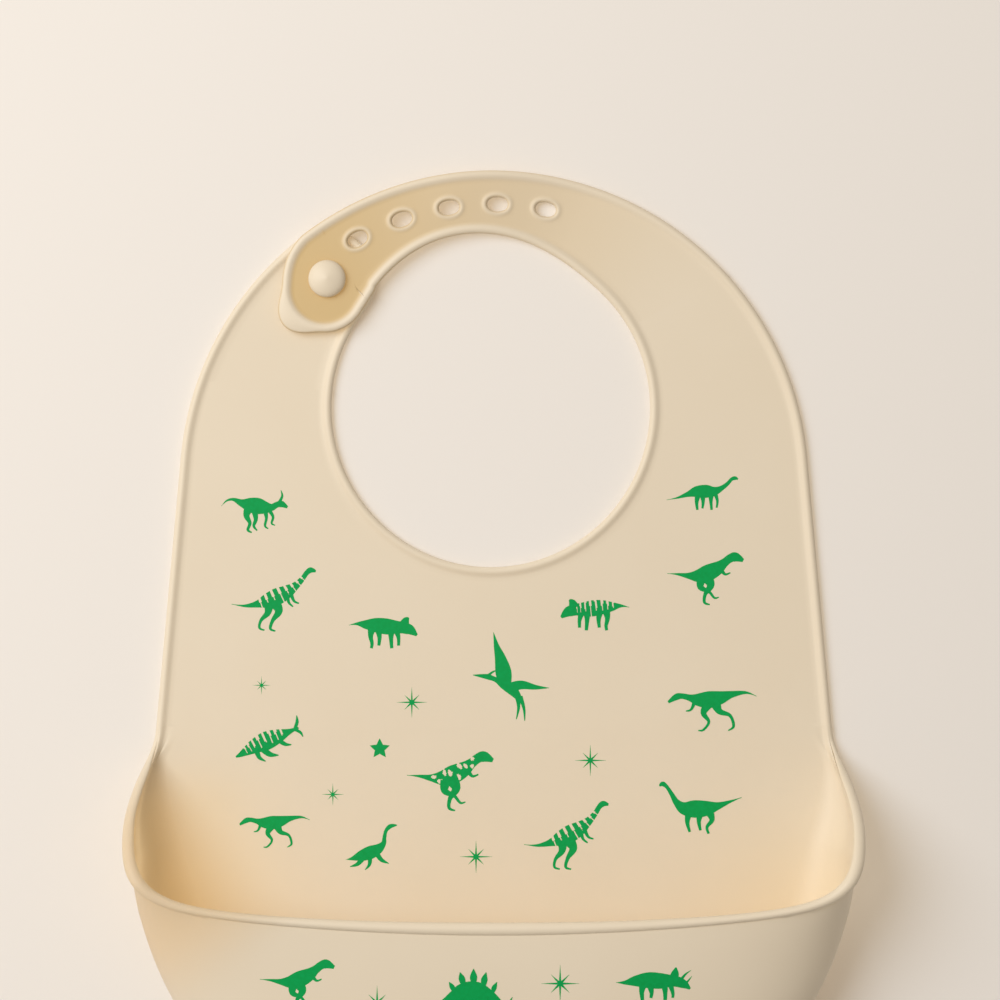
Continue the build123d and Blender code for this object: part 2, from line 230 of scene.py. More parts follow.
def silicone(name, tint, painted_glow_strength):
    material = bpy.data.materials.new(name)
    material.use_nodes = True
    nodes = material.node_tree.nodes
    links = material.node_tree.links
    shader = nodes["Principled BSDF"]
    where = nodes.new("ShaderNodeTexCoord")
    mottle = nodes.new("ShaderNodeTexNoise")
    mottle.inputs["Scale"].default_value = 28
    mottle.inputs["Detail"].default_value = 3
    ramp = nodes.new("ShaderNodeMix")
    ramp.data_type = "RGBA"
    ramp.inputs[6].default_value = (tint[0] * 0.985, tint[1] * 0.975, tint[2] * 0.96, 1)
    ramp.inputs[7].default_value = (tint[0] * 1.015, tint[1] * 1.02, tint[2] * 1.03, 1)
    links.new(where.outputs["Object"], mottle.inputs["Vector"])
    links.new(mottle.outputs["Fac"], ramp.inputs[0])
    # Painted shade: a per-point mask mixes the colour towards a darker, warmer honey tone.
    painted_shade_and_glow = nodes.new("ShaderNodeAttribute")
    painted_shade_and_glow.attribute_name = "painted_shade_and_glow"
    warm = nodes.new("ShaderNodeMix")
    warm.data_type = "RGBA"
    warm.inputs[7].default_value = (tint[0] * 0.82, tint[1] * 0.68, tint[2] * 0.42, 1)
    links.new(painted_shade_and_glow.outputs["Fac"], warm.inputs[0])
    links.new(ramp.outputs[2], warm.inputs[6])
    links.new(warm.outputs[2], shader.inputs["Base Color"])
    # Painted light: the same mask, times the strength given, makes the silicone give off a faint warm orange
    # light, though it is no lamp.
    painted_light = nodes.new("ShaderNodeMath")
    painted_light.operation = "MULTIPLY"
    painted_light.inputs[1].default_value = painted_glow_strength
    links.new(painted_shade_and_glow.outputs["Fac"], painted_light.inputs[0])
    links.new(painted_light.outputs[0], shader.inputs["Emission Strength"])
    shader.inputs["Emission Color"].default_value = (1.0, 0.72, 0.34, 1)
    grain = nodes.new("ShaderNodeTexNoise")
    grain.inputs["Scale"].default_value = 1500
    grain.inputs["Detail"].default_value = 2
    bump = nodes.new("ShaderNodeBump")
    bump.inputs["Strength"].default_value = 0.12
    bump.inputs["Distance"].default_value = 0.0001
    links.new(where.outputs["Object"], grain.inputs["Vector"])
    links.new(grain.outputs["Fac"], bump.inputs["Height"])
    links.new(bump.outputs["Normal"], shader.inputs["Normal"])
    rays = nodes.new("ShaderNodeLightPath")
    through = nodes.new("ShaderNodeBsdfTransparent")
    through.inputs["Color"].default_value = (1.0, 0.92, 0.79, 1)
    part = nodes.new("ShaderNodeMath")
    part.operation = "MULTIPLY"
    part.inputs[1].default_value = 0.72
    both = nodes.new("ShaderNodeMixShader")
    soft = nodes.new("ShaderNodeBsdfTranslucent")
    soft.inputs["Color"].default_value = (0.97, 0.88, 0.7, 1)
    body = nodes.new("ShaderNodeMixShader")
    thin = nodes.new("ShaderNodeAttribute")
    thin.attribute_name = "thin"
    links.new(thin.outputs["Fac"], body.inputs[0])
    links.new(shader.outputs[0], body.inputs[1])
    links.new(soft.outputs[0], body.inputs[2])
    links.new(rays.outputs["Is Shadow Ray"], part.inputs[0])
    links.new(part.outputs[0], both.inputs[0])
    links.new(body.outputs[0], both.inputs[1])
    links.new(through.outputs[0], both.inputs[2])
    links.new(both.outputs[0], nodes["Material Output"].inputs["Surface"])
    shader.inputs["Roughness"].default_value = 0.48
    shader.inputs["IOR"].default_value = 1.41
    shader.inputs["Sheen Weight"].default_value = 0.12
    shader.inputs["Sheen Roughness"].default_value = 0.6
    return material


oat = silicone("oat_silicone", SILICONE, 0.0)
panel.data.materials.append(oat)
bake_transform(panel)
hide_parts("chest_panel")

# ---------------------------------------------------------------- catch pocket
# The deep pocket that catches food, moulded in one with the panel: its floor runs on from
# the sheet, its wall rounds up through a full belly to a thick rolled lip that holds the
# mouth open, and the lip runs down each side into the panel's edge bead.
FAN = (0.0, PANEL_END_Y)
CORNER_FAN = 24.0
WALL = 1.8
LIP = 2.0
LIP_Z = 38.5
SIDE_Z = 3.0
WALL_TURN = radians(75)
WAIST = 0.45
FLOOR_HALF_WIDTH = 102.5
FLOOR_DRAW_IN = 5.0
FLOOR_LENGTH = 108.0
FLOOR_ROUNDING = 2.8
BELLY_SPREAD = 8.8
BELLY_SPREAD_FAN = 28.0
BELLY_LENGTH = 129.0
BELLY_ROUNDING = 2.6
SIDE_SPREAD = 7.0
SIDE_SPREAD_FAN = 15.0
SIDE_RUN_OUT = 2.5
LIP_REACH = 120.0
LIP_BOW = 0.156
RIM_ROUNDING = 11.0


def rounded(across, along, power):
    """Distance to a corner rounded between a side that far off and an end that far off."""
    return (across**-power + along**-power) ** (-1 / power)


def superellipse(fan, half_width, length, power):
    across = abs(cos(radians(fan)))
    along = abs(sin(radians(fan)))
    return ((across / half_width) ** power + (along / length) ** power) ** (-1 / power)


def rim_edge(fan):
    """Distance from the fan point to the outside of the rim's bead."""
    run = min(min(fan, 180 - fan) / SIDE_SPREAD_FAN, 1.0)
    side = side_x + SIDE_SPREAD * ease(run) + SIDE_RUN_OUT * run * (1 - run) ** 2
    across = abs(cos(radians(fan)))
    along = abs(sin(radians(fan)))
    lip = LIP_REACH / (along + sqrt(along**2 + LIP_BOW * across**2))
    return rounded(side / max(across, 1e-6), lip, RIM_ROUNDING)


def flat_section(rim):
    """The panel's own edge, in (radius, height)."""
    low = [((rim - 8) * i / 24, 0.0) for i in range(24)]
    low += [(rim - 8 + 4 * i / 9, 0.0) for i in range(9)]
    low += [(rim - 4 + 2.4 * i / 14, 0.0) for i in range(14)]
    bead = []
    for i in range(17):
        a = radians(-90 + 180 * i / 16)
        squash = 1.0 if a > 0 else BEAD
        bead.append((rim - BEAD + BEAD * cos(a) ** (1 / squash), BEAD + BEAD * sin(a)))
    top = [(rim - BEAD - d, edge_top(BEAD + d)) for d in (0.05 + 3.0 * i / 14 for i in range(14))]
    top += [(rim - 4.6 - 3.4 * i / 8, SHEET) for i in range(9)]
    top += [((rim - 8) * (1 - i / 24), SHEET) for i in range(1, 25)]
    return low + bead + top


def wall_section(fan):
    """Floor, belly, wall and rolled lip, in (radius, height), at that turn from the nearer side."""
    turn = min(fan, 180 - fan)
    bead = BEAD + (LIP - BEAD) * ease(turn / CORNER_FAN)
    floor_half = FLOOR_HALF_WIDTH - FLOOR_DRAW_IN * ease((turn - 5) / CORNER_FAN)
    foot = superellipse(fan, floor_half, FLOOR_LENGTH, FLOOR_ROUNDING)
    belly_half = side_x + BELLY_SPREAD * ease(turn / BELLY_SPREAD_FAN)
    belly = superellipse(fan, belly_half, BELLY_LENGTH, BELLY_ROUNDING)
    rim = rim_edge(fan) + WALL / 2 - bead
    belly = max(belly, rim + 0.1)
    top = SIDE_Z + (LIP_Z - SIDE_Z) * ease(turn / CORNER_FAN)
    waist = WAIST * top
    back = (belly - rim) / (1 - cos(WALL_TURN))
    rise = (top - waist) / sin(WALL_TURN)
    line = []
    for i in range(9):
        a = radians(90 * i / 9)
        swell = belly - foot
        line.append((foot + swell * sin(a), waist * (1 - cos(a)), swell * cos(a), waist * sin(a)))
    for i in range(15):
        a = WALL_TURN * i / 14
        line.append((belly - back * (1 - cos(a)), waist + rise * sin(a), -back * sin(a), rise * cos(a)))
    outer = [(foot * i / 24, 0.0) for i in range(24)]
    inner = []
    for r, z, dr, dz in line:
        size = hypot(dr, dz)
        outer.append((r, z))
        inner.append((r - WALL * dz / size, z + WALL * dr / size))
    r, z, dr, dz = line[-1]
    u = (dr / hypot(dr, dz), dz / hypot(dr, dz))
    n = (-u[1], u[0])
    flush = WALL / 2 - (bead - WALL / 2) * (1 - ease((turn - 16) / 12))
    middle = (r + n[0] * flush, z + n[1] * flush)
    reach = sqrt(bead ** 2 - (WALL / 2) ** 2)
    outer[-1] = (r - u[0] * reach, z - u[1] * reach)
    inner[-1] = (r + n[0] * WALL - u[0] * reach, z + n[1] * WALL - u[1] * reach)
    open_angle = pi - asin(WALL / 2 / bead)
    roll = []
    for i in range(17):
        a = open_angle * (-1 + i / 8)
        roll.append(tuple(m + bead * (p * cos(a) + q * sin(a)) for m, p, q in zip(middle, u, n)))
    floor = [(inner[0][0] * (1 - i / 24), WALL + (SHEET - WALL) * i / 24) for i in range(1, 25)]
    return outer[:-1] + roll + list(reversed(inner[:-1])) + floor


fans = [0.75 * i for i in range(48)] + [36 + 1.5 * i for i in range(37)]
fans = fans + [180 - fan for fan in reversed(fans[:-1])]
# Rows of a section, counted out under the floor and back in over the lip: just up the outer
# wall, the inner side of the lip, and the curve of the belly inside
WALL_ROW = 26
LIP_ROW = 60
BELLY_ROW = 80
points = []
painted_shade_and_glow = []
thin = []
for fan in fans:
    turn = min(fan, 180 - fan)
    flat = flat_section(rim_edge(fan))
    left = 1 if fan > 90 else 0
    # Painted shade and painted light on the inside of the wall, from under the lip down over the belly: some
    # towards the front and most in the left inside corner, as light from the upper left would leave it.
    corner_shade = 0.45 * ease((turn - 4) / 12) * (1 - ease((turn - 22) / 28))
    shade = 0.35 * ease((turn - 10) / 25) + left * corner_shade
    in_side = left * ease((turn - 4) / 14) * (1 - ease((turn - 30) / 15))
    for row in range(len(flat)):
        painted_shade_and_glow.append(shade * ease((row - LIP_ROW) / 6) * (1 - ease((row - BELLY_ROW) / 16)))
        in_wall = ease((row - WALL_ROW) / 8) * (1 - ease((row - BELLY_ROW) / 12))
        thin.append(0.4 * in_wall * in_side)
    full = wall_section(fan)
    for (a, b), (c, d) in zip(flat, full):
        u = ease(turn / 9)
        r = a + (c - a) * u
        z = b + (d - b) * u
        points.append((FAN[0] + r * cos(radians(fan)), FAN[1] - r * sin(radians(fan)), z))
rows = len(flat_section(100))
assert rows == len(wall_section(90)), (rows, len(wall_section(90)))
faces = grid_faces(len(fans), rows)
for c in (0, len(fans) - 1):
    for r in range(rows // 2):
        a = c * rows
        faces.append((a + r, a + r + 1, a + rows - 2 - r, a + rows - 1 - r))
pocket = weld("catch_pocket", points, faces, painted_shade_and_glow=painted_shade_and_glow, thin=thin)
# The pocket's silicone gives off the faint painted warm light where its mask is set.
pocket.data.materials.append(silicone("silicone_with_painted_glow", SILICONE, 0.2))
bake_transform(pocket)
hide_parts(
    "lower_panel",
    "pocket_wall",
    "side_rim_left",
    "side_rim_right",
    "pocket_front",
    "pocket_lip",
)

# ---------------------------------------------------------------- stud arm
# The short left arm of the neck loop, moulded in one with the panel. It ends in a half
# round about the stud, and the strap's tip lies over it when the bib is fastened.
STUD_CLOCK = -38.9
STUD_ROW_RADIUS = 82.5
STUD = out_from((0, ARCH_Y), STUD_ROW_RADIUS, 90 - STUD_CLOCK)
to_neck = degrees(atan2(NECK[1] - STUD[1], NECK[0] - STUD[0]))
off_arch = degrees(atan2(STUD[1] - ARCH_Y, STUD[0]))
near = hypot(STUD[0] - NECK[0], STUD[1] - NECK[1]) - NECK_RADIUS
far = ARCH_RADIUS - STUD_ROW_RADIUS
start_out = panel_edge(ARM_CUT)[0]
start_turn = degrees(atan2(start_out[1] - ARCH_Y, start_out[0]))
columns = []
for i in range(31):
    u = i / 30
    inner = neck_edge(ARM_CUT + (to_neck + 180 - ARM_CUT) * u)
    turn = start_turn + (off_arch - start_turn) * u
    outer = (out_from((0, ARCH_Y), ARCH_RADIUS, turn), (-cos(radians(turn)), -sin(radians(turn))))
    columns.append(beaded_column(inner, outer, 14))
middle = (to_neck + off_arch) / 2
for i in range(1, 33):
    u = i / 32
    a = to_neck + (middle - to_neck) * u
    b = off_arch + (middle - off_arch) * u
    ra = near + (far - near) * u / 2
    rb = far + (near - far) * u / 2
    inner = (out_from(STUD, ra, a), (-cos(radians(a)), -sin(radians(a))))
    outer = (out_from(STUD, rb, b), (-cos(radians(b)), -sin(radians(b))))
    columns.append(beaded_column(inner, outer, 14))
arm = sheet_piece("stud_arm_skin", columns)
arm.data.materials.append(oat)
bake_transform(arm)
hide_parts("stud_arm")

# ---------------------------------------------------------------- snap stud
# The button that the strap snaps onto: a short neck and a domed mushroom head of the same
# silicone, moulded on the arm. The head squeezes through a hole and spreads over its rim.
profile = [(0, 1.6), (2.6, 1.6), (2.6, 4.9), (3.0, 5.2), (4.6, 5.3), (5.4, 5.55), (5.8, 6.0)]
profile += [(5.75, 6.6), (5.3, 7.3), (4.6, 7.85), (3.7, 8.3), (2.7, 8.65), (1.7, 8.9), (0.8, 9.1)]
profile += [(0.3, 9.18), (0, 9.2)]
points = []
for i in range(64):
    a = 2 * pi * i / 64
    points += [(STUD[0] + r * cos(a), STUD[1] + r * sin(a), z) for r, z in profile]
faces = grid_faces(64, len(profile))
for r in range(len(profile) - 1):
    a = 63 * len(profile) + r
    faces.append((a, a + 1, r + 1, r))
stud = weld("stud_button", points, faces, 60)
stud.data.materials.append(oat)
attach(stud, "arm_body")
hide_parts("snap_stud")

# ---------------------------------------------------------------- hole strap
# The long strap that comes round from the right, moulded in one with the panel, with a row
# of oval holes 15 mm apart. Each hole has a soft raised rim. The strap rises a little
# towards its end, where it lies on the arm.
HOLE_RADIUS = 87.5
FIRST_HOLE = 10.6
HOLE_PITCH = 9.9
HOLE_LENGTH = 3.15
HOLE_WIDTH = 2.15
RIM_FADE = 2.2
HOLE_STEPS = [0, 0.03, 0.12, 0.27, 0.5, 0.75, 1.0, 1.25, 1.55, 1.9, RIM_FADE]
STRAP_ROOT = neck_edge(50.0)[0]
STRAP_FLEX = radians(65)
STRAP_LIFT = 3.1
BAND_END = -31.0
SHOULDER = -37.5
SPLIT_CLOCK = FIRST_HOLE - 4.5 * HOLE_PITCH
TIP = (-52.6, 113.9)
TIP_RADIUS = 13.4
BAND_END_WIDTH = 26.8


def strap_lift(x, y):
    """How far the strap's back is off the surface."""
    reach = (y - STRAP_ROOT[1]) * cos(STRAP_FLEX) - (x - STRAP_ROOT[0]) * sin(STRAP_FLEX)
    return STRAP_LIFT * ease((reach - 12) / 46)


def strap_painted_shade(x, y, z):
    """Painted shade: how far the strap's flat middle is tinted a darker honey tone, most towards its tip."""
    clockwise = degrees(atan2(x, y - ARCH_Y))
    share = 1.0 - 0.65 * ease((clockwise + 45) / 60) - 0.35 * ease((clockwise - 5) / 45)
    return share * max(0.0, 1 - abs(z - strap_lift(x, y) - SHEET) / 0.5)


def rim_top(d):
    if d < 0.9:
        return 1.1 + 1.2 * sqrt(1 - ((0.9 - d) / 0.9) ** 2)
    return SHEET + 0.3 * (1 - ease((d - 0.9) / (RIM_FADE - 0.9)))


def rim_low(d):
    return 1.1 - 1.1 * sqrt(1 - (1 - d / 0.8) ** 2) if d < 0.8 else 0.0


def oval(angle):
    """Distance from a hole's centre to its edge, angle from its long way."""
    return superellipse(degrees(angle), HOLE_LENGTH, HOLE_WIDTH, 2.2)


def clock(radius, degrees_clockwise):
    return out_from((0, ARCH_Y), radius, 90 - degrees_clockwise)


def touch(point, side):
    """Where a straight line from that point touches the round tip."""
    dx = point[0] - TIP[0]
    dy = point[1] - TIP[1]
    turn = atan2(dy, dx) + side * acos(TIP_RADIUS / hypot(dx, dy))
    return out_from(TIP, TIP_RADIUS, degrees(turn))


band_end = clock(ARCH_RADIUS - BAND_END_WIDTH, BAND_END)
INNER_RUN = (band_end, touch(band_end, -1))


def on_run(run, clockwise):
    """Where a spoke of the arch crosses one of the straight runs into the tip."""
    (ax, ay), (bx, by) = run
    dx, dy = clock(1, clockwise)[0], clock(1, clockwise)[1] - ARCH_Y
    t = (ax * dy - (ay - ARCH_Y) * dx) / ((by - ay) * dx - (bx - ax) * dy)
    return (ax + (bx - ax) * t, ay + (by - ay) * t)


def strap_inner(clockwise):
    """The strap's neck edge on a spoke of the arch, with its inward normal."""
    if clockwise < BAND_END:
        p = on_run(INNER_RUN, clockwise)
        (ax, ay), (bx, by) = INNER_RUN
        size = hypot(bx - ax, by - ay)
        return p, ((by - ay) / size, -(bx - ax) / size)
    low, high = 20.0, 170.0
    for _ in range(40):
        turn = (low + high) / 2
        rise = 5.0 * sin(pi * min(max((turn - 45) / 115, 0), 1)) ** 2
        x, y = out_from(NECK, NECK_RADIUS + rise, turn)
        if degrees(atan2(x, y - ARCH_Y)) > clockwise:
            low = turn
        else:
            high = turn
    lean = 5.0 * pi / radians(115) * sin(2 * pi * min(max((turn - 45) / 115, 0), 1)) / NECK_RADIUS
    a = radians(turn)
    n = (cos(a) + lean * sin(a), sin(a) - lean * cos(a))
    return (x, y), (n[0] / hypot(*n), n[1] / hypot(*n))


def strap_outer(clockwise):
    a = radians(90 - clockwise)
    return clock(ARCH_RADIUS, clockwise), (-cos(a), -sin(a))


PATCH_HALF = HOLE_PITCH / 2
PATCH_REACH = 4.9
PATCH_COLUMNS = 12
PATCH_ROWS = 10
top_points = []
low_points = []
faces = []


def add_grid(columns):
    """Adds a patch of columns of (x, y, top, low) to the strap, and gives its number of rows."""
    rows = len(columns[0])
    start = len(top_points)
    for column in columns:
        for x, y, top, low in column:
            z = strap_lift(x, y)
            top_points.append((x, y, z + top))
            low_points.append((x, y, z + low))
    faces.extend(grid_faces(len(columns), rows, start))
    return rows


def edge_run(edge, goal, rows):
    """Points from a beaded edge to a point of the sheet."""
    (p, n) = edge
    run = [(p[0] + n[0] * d, p[1] + n[1] * d, edge_top(d), edge_low(d)) for d in EDGE_STEPS]
    last = run[-1]
    return run + [mix(last, (goal[0], goal[1], SHEET, 0.0), i / rows) for i in range(1, rows + 1)]


def spoke(clockwise):
    """A whole column across the strap beside the holes."""
    low = edge_run(strap_inner(clockwise), clock(HOLE_RADIUS - PATCH_REACH, clockwise), 5)
    high = edge_run(strap_outer(clockwise), clock(HOLE_RADIUS + PATCH_REACH, clockwise), 3)
    mid = []
    for i in range(1, PATCH_ROWS):
        r = HOLE_RADIUS - PATCH_REACH + 2 * PATCH_REACH * i / PATCH_ROWS
        mid.append((*clock(r, clockwise), SHEET, 0.0))
    return low + mid + list(reversed(high))


first = spoke(FIRST_HOLE + PATCH_HALF)
start = beaded_column(neck_edge(STRAP_CUT), panel_edge(STRAP_CUT), 40)
a = first[len(EDGE_STEPS) - 1]
b = first[-len(EDGE_STEPS)]
span = hypot(b[0] - a[0], b[1] - a[1])
bare = first[len(EDGE_STEPS) - 1 : len(first) - len(EDGE_STEPS) + 1]
shares = [hypot(p[0] - a[0], p[1] - a[1]) / span for p in bare]
inner_from = degrees(atan2(start[0][0], start[0][1] - ARCH_Y))
outer_from = degrees(atan2(start[-1][0], start[-1][1] - ARCH_Y))
columns = []
for i in range(37):
    u = i / 36
    p, n = strap_inner(inner_from + (FIRST_HOLE + PATCH_HALF - inner_from) * u)
    q, m = strap_outer(outer_from + (FIRST_HOLE + PATCH_HALF - outer_from) * u)
    run = [(p[0] + n[0] * d, p[1] + n[1] * d, edge_top(d), edge_low(d)) for d in EDGE_STEPS]
    back = [(q[0] + m[0] * d, q[1] + m[1] * d, edge_top(d), edge_low(d)) for d in reversed(EDGE_STEPS)]
    column = run + [mix(run[-1], back[0], share) for share in shares[1:-1]] + back
    columns.append(column)
straight = columns[-1]
for i, column in enumerate(columns):
    u = i / 36
    shift = [tuple((b - a) * u for a, b in zip(p, q)) for p, q in zip(straight, first)]
    columns[i] = [tuple(a + b for a, b in zip(p, q)) for p, q in zip(column, shift)]
root_rows = add_grid(columns)

for place in range(5):
    centre = FIRST_HOLE - place * HOLE_PITCH
    across = [centre + PATCH_HALF - HOLE_PITCH * i / PATCH_COLUMNS for i in range(PATCH_COLUMNS + 1)]
    add_grid([edge_run(strap_inner(c), clock(HOLE_RADIUS - PATCH_REACH, c), 5) for c in across])
    add_grid([edge_run(strap_outer(c), clock(HOLE_RADIUS + PATCH_REACH, c), 3)[::-1] for c in across])
    around = [(1 - 2 * i / PATCH_COLUMNS, -1) for i in range(PATCH_COLUMNS)]
    around += [(-1, -1 + 2 * i / PATCH_ROWS) for i in range(PATCH_ROWS)]
    around += [(-1 + 2 * i / PATCH_COLUMNS, 1) for i in range(PATCH_COLUMNS)]
    around += [(1, 1 - 2 * i / PATCH_ROWS) for i in range(PATCH_ROWS)]
    half_length = radians(PATCH_HALF) * HOLE_RADIUS
    ring = []
    for s, t in around + around[:1]:
        s = s * half_length
        t = t * PATCH_REACH
        angle = atan2(t, s)
        size = hypot(s, t)
        edge = oval(angle)
        column = []
        for d in HOLE_STEPS:
            f = (edge + d) / size
            column.append((s * f, t * f, rim_top(d), rim_low(d)))
        column += [mix(column[-1], (s, t, SHEET, 0.0), i / 3) for i in range(1, 4)]
        ring.append([
            (*clock(HOLE_RADIUS + t, centre + degrees(s / HOLE_RADIUS)), top, low)
            for s, t, top, low in column
        ])
    add_grid(ring)
last = spoke(SPLIT_CLOCK)

half = len(top_points)
under = [tuple(half + v for v in face[::-1]) for face in faces]
first_cap = [(r, r + 1, half + r + 1, half + r) for r in range(root_rows - 1)]
end_start = len(top_points) * 2
end_cap_points = []
end_painted_light = []
for x, y, top, low in last:
    z = strap_lift(x, y)
    end_cap_points += [(x, y, z + top), (x, y, z + low)]
    end_painted_light += [strap_painted_shade(x, y, z + top)] * 2
end_cap = [tuple(end_start + 2 * r + k for k in (0, 2, 3, 1)) for r in range(len(last) - 1)]
# Painted shade mask for the strap: darker honey on its flat middle, none on its back.
painted_light = [strap_painted_shade(*point) for point in top_points] + [0.0] * len(low_points) + end_painted_light
strap_points = top_points + low_points + end_cap_points
strap = weld("hole_strap_skin", strap_points, faces + under + first_cap + end_cap, painted_shade_and_glow=painted_light)
strap.data.materials.append(oat)
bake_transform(strap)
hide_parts("hole_strap")

# ---------------------------------------------------------------- strap tip
# The end of the strap, snapped over the stud: a round tab with one squared corner to pull
# it off by, and the same bead and rimmed hole as the rest.
PULL_TURN = 221
PULL_HALF = 47
PULL_REACH = 3.6
split_in = strap_inner(SPLIT_CLOCK)
shoulder = clock(ARCH_RADIUS, SHOULDER)
shoulder_turn = degrees(atan2(shoulder[1] - TIP[1], shoulder[0] - TIP[0]))
inner_turn = degrees(atan2(INNER_RUN[1][1] - TIP[1], INNER_RUN[1][0] - TIP[0])) + 360
shoulder_reach = hypot(shoulder[0] - TIP[0], shoulder[1] - TIP[1])


def tip_edge(turn, corner):
    """The tip's edge about its centre: it runs out to the shoulder and to the squared corner."""
    swell = (shoulder_reach - TIP_RADIUS) * max(0.0, 1 - (turn - shoulder_turn) / 62) ** 1.6
    if abs(turn - PULL_TURN) < PULL_HALF:
        swell += corner * cos(radians((turn - PULL_TURN) * 1.9)) ** 2.2
    return out_from(TIP, TIP_RADIUS + swell, turn)


def tip_side(turn, corner):
    before = tip_edge(turn - 0.7, corner)
    after = tip_edge(turn + 0.7, corner)
    size = hypot(after[0] - before[0], after[1] - before[1])
    return tip_edge(turn, corner), (-(after[1] - before[1]) / size, (after[0] - before[0]) / size)


outline = []
for i in range(8):
    edge = strap_outer(SPLIT_CLOCK + (SHOULDER - SPLIT_CLOCK) * i / 8)
    outline.append((edge, edge))
for i in range(101):
    turn = shoulder_turn + (inner_turn - shoulder_turn) * i / 100
    outline.append((tip_side(turn, PULL_REACH), tip_side(turn, 0)))
for i in range(1, 13):
    edge = (mix(INNER_RUN[1], split_in[0], i / 12), split_in[1])
    outline.append((edge, edge))
for point in last[len(EDGE_STEPS) : -len(EDGE_STEPS)]:
    outline.append(((point[:2], None), (point[:2], None)))
outline.append(outline[0])
hole_angle = radians(90 - STUD_CLOCK) - pi / 2
columns = []
for edge, ridge in outline:
    end = []
    tops = []
    for d in reversed(EDGE_STEPS):
        p, n = edge if d < 1.0 else ridge
        end.append((p[0] + n[0] * d, p[1] + n[1] * d) if n else p)
        tops.append((edge_top(d), edge_low(d)) if n else (SHEET, 0.0))
    dx = end[0][0] - STUD[0]
    dy = end[0][1] - STUD[1]
    angle = atan2(dy, dx)
    edge = oval(angle - hole_angle)
    column = []
    for d in HOLE_STEPS:
        x = STUD[0] + (edge + d) * cos(angle)
        y = STUD[1] + (edge + d) * sin(angle)
        column.append((x, y, rim_top(d), rim_low(d)))
    goal = (end[0][0], end[0][1], SHEET, 0.0)
    column += [mix(column[-1], goal, i / 10) for i in range(1, 10)]
    columns.append(column + [(x, y, top, low) for (x, y), (top, low) in zip(end, tops)])
# The tip carries the same painted shade on its flat middle.
tip = sheet_piece("strap_tip_skin", columns, strap_lift, ring=True, painted_shade_and_glow=strap_painted_shade)
tip.data.materials.append(oat)
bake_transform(tip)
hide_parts("strap_tip")

# ---------------------------------------------------------------- printed animals
# Small green animals and stars, screen printed in soft silicone ink on the chest, the
# floor of the pocket and the pocket's front. The ink is a film about 0.05 mm thick.
INK_LIFT = 0.05

# Each animal faces right in a frame one unit long. A stroke runs through (x, y, half width).
CRESTED = [
    [(0, 0.42, 0), (0.08, 0.5, 0.012), (0.18, 0.52, 0.022), (0.3, 0.47, 0.05),
     (0.42, 0.44, 0.095), (0.55, 0.42, 0.11),
     (0.66, 0.4, 0.085), (0.76, 0.4, 0.05), (0.84, 0.44, 0.04), (0.91, 0.45, 0.045), (1.0, 0.4, 0.016)],
    [(0.87, 0.47, 0.022), (0.92, 0.57, 0.017), (0.9, 0.66, 0.004)],
    [(0.42, 0.4, 0.07), (0.38, 0.28, 0.045), (0.43, 0.16, 0.025), (0.4, 0.06, 0.02), (0.46, 0.02, 0.01)],
    [(0.5, 0.36, 0.05), (0.52, 0.22, 0.03), (0.49, 0.12, 0.02), (0.54, 0.05, 0.01)],
    [(0.66, 0.36, 0.04), (0.68, 0.24, 0.022), (0.66, 0.12, 0.016), (0.71, 0.08, 0.008)],
    [(0.72, 0.36, 0.03), (0.78, 0.26, 0.02), (0.76, 0.16, 0.014), (0.81, 0.13, 0.008)],
]
WALKER = [
    [(0, 0.34, 0), (0.15, 0.32, 0.014), (0.3, 0.34, 0.037), (0.42, 0.38, 0.075),
     (0.54, 0.43, 0.09), (0.66, 0.49, 0.07),
     (0.76, 0.56, 0.042), (0.84, 0.64, 0.028), (0.89, 0.71, 0.026), (0.94, 0.745, 0.03), (1.0, 0.73, 0.012)],
    [(0.5, 0.38, 0.07), (0.56, 0.26, 0.045), (0.49, 0.15, 0.022), (0.46, 0.05, 0.016), (0.52, 0.02, 0.008)],
    [(0.44, 0.36, 0.06), (0.43, 0.24, 0.037), (0.35, 0.15, 0.018), (0.33, 0.06, 0.014),
     (0.39, 0.03, 0.008)],
    [(0.7, 0.48, 0.025), (0.74, 0.38, 0.015), (0.8, 0.35, 0.008)],
    [(0.66, 0.45, 0.025), (0.68, 0.36, 0.015), (0.73, 0.31, 0.008)],
]
BITER = [
    [(0, 0.44, 0), (0.14, 0.43, 0.014), (0.28, 0.41, 0.037), (0.42, 0.41, 0.08),
     (0.54, 0.45, 0.097), (0.66, 0.51, 0.08),
     (0.75, 0.58, 0.052), (0.83, 0.64, 0.05), (0.9, 0.655, 0.055), (1.0, 0.61, 0.02)],
    [(0.5, 0.42, 0.08), (0.57, 0.29, 0.05), (0.5, 0.17, 0.024), (0.49, 0.06, 0.018), (0.56, 0.03, 0.008)],
    [(0.45, 0.38, 0.06), (0.44, 0.26, 0.04), (0.55, 0.2, 0.02), (0.62, 0.12, 0.014), (0.68, 0.13, 0.006)],
    [(0.7, 0.5, 0.03), (0.76, 0.43, 0.016), (0.83, 0.45, 0.008)],
]
